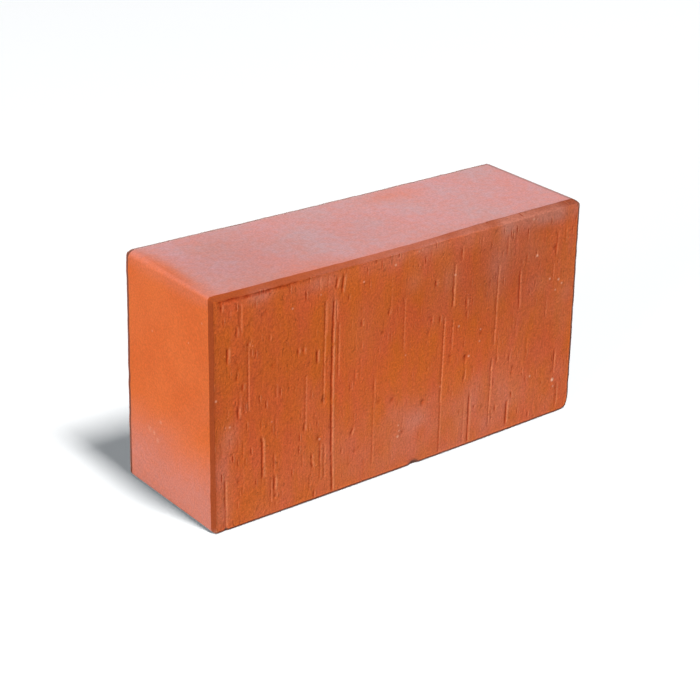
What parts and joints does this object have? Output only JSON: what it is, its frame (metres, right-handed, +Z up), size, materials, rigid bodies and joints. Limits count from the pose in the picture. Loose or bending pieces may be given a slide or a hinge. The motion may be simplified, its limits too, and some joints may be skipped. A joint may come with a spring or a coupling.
{
  "type": "solid clay brick",
  "caption": "Solid wire-cut clay brick with dragged cut faces, smooth die-skin sides, bevelled cut edges and rounded corners, for laying in walls, hearths and kiln linings.",
  "frame": {"origin": "middle of the long narrow side that the brick stands on", "axes": "+X along the length, +Y through the thickness from the front cut face to the back one, +Z up the width"},
  "size_m": [0.23, 0.075, 0.12],
  "materials": {
    "fired_clay": "matte orange-red fired clay, rough on the wire-cut faces and smoother on the die skin"
  },
  "bodies": {
    "root": {"brick": "fired_clay"}
  },
  "joints": []
}
